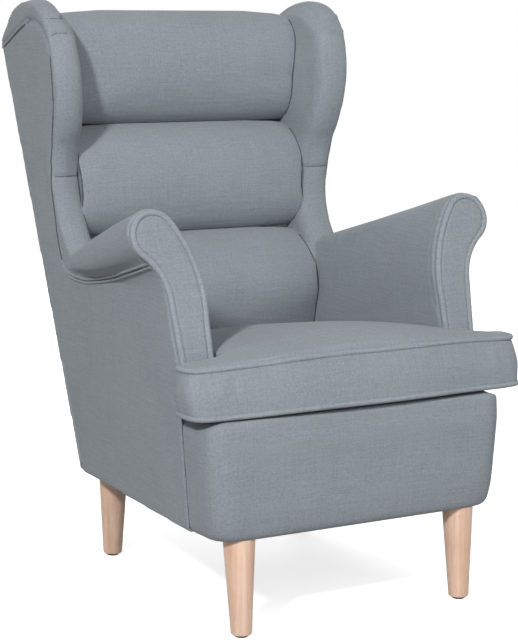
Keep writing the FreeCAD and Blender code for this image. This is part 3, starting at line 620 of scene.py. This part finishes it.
def side_seams(piece, side, hand, tucks):
    """Welt cords and the hem's fold on one side's cover, and dark cords that paint the shade in its seams and
    tucks.
    """
    for name, lift in (("upper", WELT_GAP), ("lower", -WELT_GAP)):
        shifted = [(y, z + lift) for y, z in evenly(UNDER_ARM, 0.03)]
        cord("under_arm_welt_" + name + "_" + side, lay_outside(piece, hand, shifted, 0.0003), WELT_RADIUS)
    # The seam and tuck lines from here on are dark cords: painted shade of their grooves
    sewn = [(y, z) for y, z in evenly(BORDER, 0.015) if z < NOTCH]
    seam_shade_line("wing_border_seam_shade_" + side, lay_outside(piece, hand, sewn, 0.0004))
    seam_shade_line("under_arm_seam_" + side, lay_outside(piece, hand, evenly(UNDER_ARM, 0.02), -0.0006), WELT_SHADE_LINE)
    across = [(hand * x, SEAM_Z) for x in np.linspace(*LEVEL_SEAM, 12)]
    seam_shade_line("wing_level_seam_shade_" + side, lay_from_front(piece, across), LEVEL_SHADE_LINE)
    hem = evenly(HEM, 0.02)
    seam_shade_line("wing_hem_seam_shade_" + side, lay_outside(piece, hand, [(y, z - HEM_GAP) for y, z in hem]))
    cord("wing_hem_fold_" + side, lay_outside(piece, hand, hem), HEM_RADIUS, COVER_CLOTH)
    seam_shade_line("facing_seam_shade_" + side, rim_of("arm_facing_" + side), FACING_SHADE_LINE)
    for i, tuck in enumerate(tucks if side == "right" else ()):
        again = lay_from_front(piece, [(spot.x, spot.z) for spot in tuck])
        seam_shade_line("wing_tuck_%d_%s" % (i + 1, side), again, TUCK_SHADE_LINE)


def rear_welt(piece, side, hand):
    """Cord in the seam between the side and the outside back."""
    low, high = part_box("outside_back_panel")
    route = [(high.y - (high.y - low.y) * (1.0 - t) - REAR_WELT_IN, low.z + (high.z - low.z) * t)
             for t in np.linspace(0.02, 0.985, 9)]
    cord("rear_welt_" + side, lay_outside(piece, hand, route), REAR_WELT_RADIUS)


def front_fold(piece, side, hand):
    """Folded front edge of the outside panel, with a dark cord before it that paints the shade in the seam to the
    apron.
    """
    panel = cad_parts["outside_panel_" + side].data.vertices
    edge = min(v.co.y for v in panel if v.co.z < CUSHION_LOW.z)
    levels = np.linspace(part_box("front_apron")[0].z + 0.006, CUSHION_LOW.z - 0.004, 12)
    fold = lay_outside(piece, hand, [(edge + 0.005, z) for z in levels], -0.0008)
    cord("side_front_fold_" + side, fold, FRONT_FOLD_RADIUS)
    # Dark cord: painted shade in the seam to the apron
    seam = lay_outside(piece, hand, [(edge + 0.0005, z) for z in levels], 0.0006)
    seam_shade_line("side_front_seam_shade_" + side, seam, FRONT_SHADE_LINE)


def side_upholstery(side, hand):
    """Arm, wing and outside panel of one side: padded cover with its seams, hem, tucks and welts."""
    soft = [part + "_" + side for part in ("arm_pad", "wing_pad", "outside_panel")]
    inner = [part + "_" + side for part in ("arm_front_board", "arm_rail", "wing_board")]
    piece = pattern_of("side_upholstery_" + side, *soft, *inner)
    remesh(piece, 0.004)
    relax(piece, 5)
    push(piece, COVER_PROUD)
    over_hem = pad_side(piece, hand)
    tucks = [lay_from_front(piece, [(hand * x, z) for x, z in evenly(tuck, 0.006)]) for tuck in TUCKS]
    sew_side(piece, side, hand, over_hem, tucks)
    dress(piece, COVER_CLOTH, nodes=soft)
    side_seams(piece, side, hand, tucks)
    rear_welt(piece, side, hand)
    front_fold(piece, side, hand)
    return piece


# Base

APRON_ROUND = 0.026                            # upper corners of the apron
APRON_PROUD, APRON_FULL = 0.0022, 0.0042       # wadding everywhere, and more in the middle of the front
DUST_SAG = 0.006
FOOT_BEVEL = 0.0025


def apron():
    """Front apron, wadded under its cover and drawn tight at its edges."""
    piece = pattern_of("front_apron_cover", "front_apron")
    low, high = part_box("front_apron")
    remesh(piece, 0.005)
    relax(piece, 6)
    co, no = places(piece), facings_of(piece)
    edge = ease(co[:, 2], low.z, low.z + 0.05) * (1.0 - ease(co[:, 2], high.z - 0.05, high.z))
    front = ease(-no[:, 1] + 0.6 * np.abs(no[:, 0]), 0.2, 0.7) * ease(-co[:, 1], -low.y - 0.09, -low.y - 0.05)
    push(piece, APRON_PROUD + APRON_FULL * edge * front)
    co = places(piece)
    bend = ease(np.abs(co[:, 0]), high.x - 0.085, high.x - 0.045) * ease(-co[:, 1], -low.y - 0.10, -low.y - 0.06)
    relax(piece, 14, where=bend)
    co = places(piece)
    over = np.stack([np.abs(co[:, 0]) - high.x + APRON_ROUND, co[:, 2] - high.z + APRON_ROUND], axis=1)
    reach = np.linalg.norm(np.maximum(over, 0.0), axis=1)
    past = (over.min(1) > 0.0) & (reach > APRON_ROUND)
    back = np.where(past, APRON_ROUND / np.maximum(reach, 1e-6) - 1.0, 0.0)
    co[:, 0] += np.sign(co[:, 0]) * over[:, 0] * back
    co[:, 2] += over[:, 1] * back
    put(piece, co)
    dress(piece, COVER_CLOTH, nodes=["front_apron"])


def dust_cover():
    """Black cloth stapled under the seat frame, sagging a little between its edges."""
    piece = pattern_of("dust_cover_sheet", "dust_cover")
    low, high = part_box("dust_cover")
    pick(piece)
    bpy.ops.object.mode_set(mode="EDIT")
    bpy.ops.mesh.select_all(action="SELECT")
    bpy.ops.mesh.subdivide(number_cuts=4)
    bpy.ops.mesh.subdivide(number_cuts=3)
    bpy.ops.object.mode_set(mode="OBJECT")
    co = places(piece)
    across = np.clip(1.0 - (co[:, 0] / high.x) ** 2, 0.0, 1.0)
    deep = np.clip((co[:, 1] - low.y) * (high.y - co[:, 1]) / ((high.y - low.y) / 2.0) ** 2, 0.0, 1.0)
    co[:, 2] -= DUST_SAG * np.sqrt(across) * np.sqrt(deep)
    put(piece, co)
    dress(piece, DUST_CLOTH, nodes=["dust_cover"])


def leg(node):
    """A tapered, raked leg: turned cone with an eased foot, from the CAD leg's top and foot."""
    co = corners_of(node)
    ends = []
    for level in (co[:, 2].min(), co[:, 2].max()):
        ring = co[np.abs(co[:, 2] - level) < SAME_LEVEL]
        low, high = ring.min(0), ring.max(0)
        ends.append(((low + high) / 2.0, (high[1] - low[1]) / 2.0))
    (foot, foot_r), (top, top_r) = ends
    bpy.ops.object.select_all(action="DESELECT")
    bpy.ops.mesh.primitive_cone_add(vertices=48, radius1=foot_r, radius2=top_r, depth=top[2] - foot[2],
                                    location=(0.0, 0.0, (top[2] + foot[2]) / 2.0))
    piece = bpy.context.object
    piece.name = piece.data.name = node + "_turned"
    bpy.ops.object.transform_apply()
    bpy.ops.object.mode_set(mode="EDIT")
    bpy.ops.mesh.select_all(action="DESELECT")
    bpy.ops.object.mode_set(mode="OBJECT")
    for edge in piece.data.edges:
        edge.select = all(abs(piece.data.vertices[i].co.z - foot[2]) < SAME_LEVEL for i in edge.vertices)
    bpy.ops.object.mode_set(mode="EDIT")
    bpy.ops.mesh.bevel(offset=FOOT_BEVEL, segments=3, affect="EDGES")
    bpy.ops.object.mode_set(mode="OBJECT")
    co = places(piece)
    share = (co[:, 2] - foot[2]) / (top[2] - foot[2])
    co[:, :2] += foot[:2] + (top - foot)[:2] * share[:, None]
    put(piece, co)
    dress(piece, LEG_BEECH, nodes=[node])
    pick(piece)
    bpy.ops.object.shade_smooth_by_angle(angle=math.radians(40.0))


# Back

ROLL_PROUD = 0.0022                            # cover over the CAD roll
ROLL_REACH = 0.022                             # corners of a roll, drawn out into the wings
ROLL_SWELL = 0.010                             # most that the filling moves a point
LUMBAR_REACH, LUMBAR_BELLY = 0.005, 0.016      # the lumbar roll's ends and its front are fuller
CREASE_RADIUS, CREASE_DEPTH = 0.013, 0.014     # fold between two rolls, and how far it lies behind them
END_CLEAR = 0.016                              # an end's dark cord, painted shade of the crease, stops this far from the creases
END_FROM, END_TO, END_STEP = 0.03, -0.08, 0.0015   # x from the CAD roll's end, where the seam is looked for
END_LIFT = 0.0005


def back_roll(name):
    """One sewn channel of the back: its rear and its creases are held, and its front swells."""
    piece = pattern_of(name + "_cushion", name)
    low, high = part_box(name)
    remesh(piece, 0.006)
    relax(piece, 3)
    push(piece, ROLL_PROUD)
    co = places(piece)
    corner = ease(np.abs(co[:, 2] - (low.z + high.z) / 2.0) / (high.z - low.z), 0.10, 0.42)
    co[:, 0] += np.sign(co[:, 0]) * ROLL_REACH * corner * ease(np.abs(co[:, 0]), 0.14, high.x - 0.01)
    if name == "lumbar_roll":
        ends = ease(np.abs(co[:, 0]), 0.14, high.x - 0.01)
        co[:, 0] += np.sign(co[:, 0]) * LUMBAR_REACH * ends * (1.0 - corner)
        belly = low.z + 0.62 * (high.z - low.z)
        co[:, 1] -= LUMBAR_BELLY * bell(co[:, 2] - belly, 0.055) * ease(-facings_of(piece)[:, 1], 0.0, 0.5)
    put(piece, co)
    held = ease(facings_of(piece)[:, 1], -0.15, 0.15)
    for level in (low.z, high.z):
        held = np.maximum(held, 1.0 - ease(np.abs(co[:, 2] - level), 0.010, 0.035))
    held = np.maximum(held, 1.0 - ease(high.x - np.abs(co[:, 0]), 0.006, 0.030))
    fill(piece, ROLL_SWELL, held)
    finer(piece)
    dress(piece, COVER_CLOTH, nodes=[name])
    return piece


def crease_shade_at_end(name, roll, side, hand, cover):
    """A dark cord in the crease where a roll's end is sewn in beside the wing and the arm: painted shade."""
    roll_tree, cover_tree = tree_of(roll), tree_of(cover)
    low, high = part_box(name)
    route = []
    for z in np.linspace(low.z + END_CLEAR, high.z - END_CLEAR, 18):
        for x in np.arange(high.x + END_FROM, high.x + END_TO, -END_STEP):
            start = Vector((hand * x, BEFORE_Y, z))
            on_roll, on_cover = (tree.ray_cast(start, Vector(TO_REAR))[0] for tree in (roll_tree, cover_tree))
            if on_roll is not None and (on_cover is None or on_roll.y < on_cover.y):
                route.append(on_roll)
                break
    route = np.array(route)
    for _ in range(2):
        route[1:-1] = (route[:-2] + 2.0 * route[1:-1] + route[2:]) / 4.0
    # Dark cord along the crease: painted shade
    seam_shade_line(name + "_end_crease_shade_" + side, route - np.array((0.0, END_LIFT, 0.0)), END_SHADE_LINE)


def crease_fold(above):
    """The back cover where it is drawn in between two rolls."""
    co = corners_of(above)
    foot = co[co[:, 2] < co[:, 2].min() + 0.006].mean(0)
    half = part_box(above)[1].x
    route = [(x, foot[1] + CREASE_DEPTH, foot[2]) for x in np.linspace(-half, half, 9)]
    cord("crease_fold_under_" + above, route, CREASE_RADIUS, COVER_CLOTH)


# Seat cushion

CUSHION_SWELL = 0.011                          # most that the filling moves a point
BOXING_SWELL = 0.0045                          # side of the ears and the front, half way up
PIPING_PROUD = 0.0004
EAR_FULL = 0.005                               # left ear, sideways
FRONT_LIFT = 0.005                             # lower edge of the overhanging front, at its middle
FRONT_BOW = 0.012                              # upper edge of the front, at its middle
REAR_FALL = 0.042                              # top at the lumbar roll

# Soft wrinkles in the boxing, five beside the right ear and one beside the left: x, lean, width, height
WRINKLES = ((-0.249, 0.10, 0.008, 0.0024), (-0.232, -0.05, 0.006, -0.0026), (-0.221, 0.05, 0.006, 0.0028),
            (-0.209, -0.10, 0.006, -0.0024), (-0.195, 0.12, 0.009, 0.0020), (0.262, -0.15, 0.010, 0.0018))


def settle(piece):
    """The cushion as it lies: its front edge bows up, its top falls to the rear, its left ear stands fuller."""
    co = places(piece)
    co[:, 0] += EAR_FULL * ease(co[:, 0], 0.27, 0.32)
    up = ease(co[:, 2], CUSHION_LOW.z + 0.015, CUSHION_LOW.z + 0.080)
    arm_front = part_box("arm_facing_left")[0].y
    back = np.clip((co[:, 1] - arm_front) / (CUSHION_HIGH.y - arm_front), 0.0, 1.0)
    bow = ease(co[:, 0], -0.33, -0.02) * (1.0 - 0.5 * ease(co[:, 0], 0.18, 0.34))
    overhang = 1.0 - ease(co[:, 1], CUSHION_LOW.y + 0.015, CUSHION_LOW.y + 0.080)
    co[:, 2] += bow * (FRONT_LIFT * overhang * (1.0 - up) + FRONT_BOW * up * (1.0 - back)) - REAR_FALL * up * back
    put(piece, co)


def seat_cushion():
    """Loose boxed cushion: held where its piping is sewn in, flat underneath, full on top."""
    piece = pattern_of("seat_cushion_stuffed", "seat_cushion_cover", "seat_cushion_core")
    remesh(piece, 0.006)
    relax(piece, 3)
    co = places(piece)
    held = 1.0 - ease(far_from(co, "seat_cushion_piping"), 0.007, 0.018)
    held = np.maximum(held, 1.0 - ease(co[:, 2], CUSHION_LOW.z + 0.006, CUSHION_LOW.z + 0.010))
    fill(piece, CUSHION_SWELL, held)
    co = places(piece)
    boxing = ease(co[:, 2], CUSHION_LOW.z + 0.016, CUSHION_LOW.z + 0.024)
    boxing = boxing * ease(-co[:, 2], 0.024 - CUSHION_HIGH.z, 0.032 - CUSHION_HIGH.z)
    relax(piece, 16, where=np.maximum(0.1, boxing * ease(np.abs(co[:, 0]), 0.27, 0.30)))
    finer(piece)
    co, no = places(piece), facings_of(piece)
    front = ease(-no[:, 1], 0.5, 0.9) * ease(co[:, 2], CUSHION_LOW.z + 0.02, CUSHION_LOW.z + 0.05)
    front *= 1.0 - ease(co[:, 2], CUSHION_LOW.z + 0.060, CUSHION_LOW.z + 0.074)
    drawn = sum(height * bell(co[:, 0] - x - lean * (co[:, 2] - CUSHION_HIGH.z), wide)
                for x, lean, wide, height in WRINKLES)
    middle = CUSHION_LOW.z + 0.045
    swell = BOXING_SWELL * bell(co[:, 2] - middle, 0.032) * (1.0 - ease(co[:, 1], -0.30, -0.28))
    push(piece, drawn * front + swell * (1.0 - np.abs(no[:, 2])))
    settle(piece)
    dress(piece, COVER_CLOTH, body="seat_cushion", nodes=["seat_cushion_cover", "seat_cushion_core"])
    piping = pattern_of("seat_cushion_piping_cord", "seat_cushion_piping")
    remesh(piping, 0.002)
    relax(piping, 3)
    push(piping, PIPING_PROUD)
    settle(piping)
    dress(piping, PIPING_CLOTH_PAINTED_LIGHT, body="seat_cushion", nodes=["seat_cushion_piping"])


def plain_cover(node, name, voxel, rounds, finish=COVER_CLOTH, grow=0.0012):
    """A padded piece with the form of its CAD node, a little fuller and with soft edges."""
    piece = pattern_of(name, node)
    remesh(piece, voxel)
    relax(piece, rounds)
    push(piece, grow)
    dress(piece, finish, nodes=[node])


# Stage

FLOOR_SIZE = 9.0
FLOOR_BOUNCE = 0.36                            # share of light that the floor throws back at the chair
FLOOR_WHITE, FLOOR_GLOW = 0.93, 0.68           # what the eye sees of the floor: paint, and light of its own
WORLD_FILL, WORLD_STRENGTH = (0.96, 0.98, 1.0, 1.0), 0.30
WHITE = (1.0, 1.0, 1.0, 1.0)

# Name, place, aim, size in metres, power in watts
SOFTBOXES = (("key_softbox", (-3.25, -2.95, 3.0), (0.0, 0.0, 0.6), 0.40, 178.0),
             ("front_softbox", (0.5, -3.4, 2.4), (0.0, 0.0, 0.9), 2.8, 66.0),
             ("back_softbox", (1.2, 3.8, 2.4), (0.0, 0.0, 0.5), 2.6, 60.0))

# The photograph's view, found by fitting the outline
EYE = (-1.6024, -2.9410, 0.9785)
LOOK = (0.47969, 0.86361, -0.15523)
SENSOR, LENS = 36.0, 104.55                    # millimetres
LENS_SHIFT = (-0.0027, 0.0010)


def light_or_show(nodes, lighting, seen, output):
    """One shader lights the chair, the other is what the eye, a reflection or a clear piece sees."""
    eye, gloss, clear = (nodes.node("ShaderNodeLightPath", out=kind)
                         for kind in ("Is Camera Ray", "Is Glossy Ray", "Is Transmission Ray"))
    mix = nodes.node("ShaderNodeMixShader", None, {0: eye.most(gloss).most(clear), 1: lighting, 2: seen})
    nodes.node(output, None, {"Surface": mix})


def floor():
    """White floor that keeps the chair's shadow."""
    bpy.ops.mesh.primitive_plane_add(size=FLOOR_SIZE)
    plane = bpy.context.object
    plane.name = "floor"
    paint = Nodes(bpy.data.materials.new("floor_white"))
    bounce, matt = (paint.node("ShaderNodeBsdfDiffuse", None, {"Color": (grey, grey, grey, 1.0)})
                    for grey in (FLOOR_BOUNCE, FLOOR_WHITE))
    glow = paint.node("ShaderNodeEmission", None, {"Strength": FLOOR_GLOW})
    lit = paint.node("ShaderNodeAddShader", None, {0: matt, 1: glow})
    light_or_show(paint, bounce, lit, "ShaderNodeOutputMaterial")
    plane.data.materials.append(paint.owner)


def surroundings():
    """White all round, with a weak and slightly cool fill light."""
    world = bpy.data.worlds.new("studio_white")
    bpy.context.scene.world = world
    sky = Nodes(world)
    seen, fill_light = (sky.node("ShaderNodeBackground", None, {"Color": colour, "Strength": strength})
                        for colour, strength in ((WHITE, 1.0), (WORLD_FILL, WORLD_STRENGTH)))
    light_or_show(sky, fill_light, seen, "ShaderNodeOutputWorld")


def softboxes():
    """A small hard key light from the left, and two wide lamps before and behind the chair."""
    for name, place, aim, size, power in SOFTBOXES:
        lamp = bpy.data.lights.new(name, "AREA")
        lamp.size, lamp.energy = size, power
        light = link(name, lamp)
        light.location = place
        light.rotation_euler = (Vector(aim) - Vector(place)).to_track_quat("-Z", "Y").to_euler()


def camera():
    """A long lens, left of the chair's front and a little above its middle."""
    lens = bpy.data.cameras.new("photo_camera")
    lens.sensor_width = lens.sensor_height = SENSOR
    lens.lens = LENS
    lens.shift_x, lens.shift_y = LENS_SHIFT
    eye = link("photo_camera", lens)
    ahead = Vector(LOOK).normalized()
    across = ahead.cross(Vector((0.0, 0.0, 1.0))).normalized()
    turn = Matrix((across, across.cross(ahead), -ahead)).transposed().to_4x4()
    eye.matrix_world = Matrix.Translation(EYE) @ turn
    bpy.context.scene.camera = eye


def main():
    """Dresses the CAD pieces, makes the pieces that replace them, and sets the stage."""
    bpy.context.scene.view_settings.view_transform = "Standard"
    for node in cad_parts.values():
        finish = SLOT_FINISH[node.data.materials[0].name.split(".")[0]]
        node.data.materials.clear()
        node.data.materials.append(finish)
    covers = {}
    for side, hand in SIDES:
        covers[side] = side_upholstery(side, hand)
        for end in ("front", "rear"):
            leg("leg_" + end + "_" + side)
        plain_cover("arm_facing_" + side, "arm_facing_pad_" + side, 0.003, 3, grow=0.0026)
        plain_cover("arm_welt_" + side, "arm_welt_cord_" + side, 0.002, 3, PIPING_CLOTH_PAINTED_LIGHT)
    for name in ("lumbar_roll", "middle_roll", "head_roll"):
        roll = back_roll(name)
        for side, hand in SIDES:
            crease_shade_at_end(name, roll, side, hand, covers[side])
    for above in ("middle_roll", "head_roll"):
        crease_fold(above)
    seat_cushion()
    apron()
    dust_cover()
    plain_cover("outside_back_panel", "outside_back_cover", 0.006, 3)
    plain_cover("seat_deck", "seat_deck_cover", 0.006, 4, DECK_CLOTH)
    floor()
    surroundings()
    softboxes()
    camera()


main()
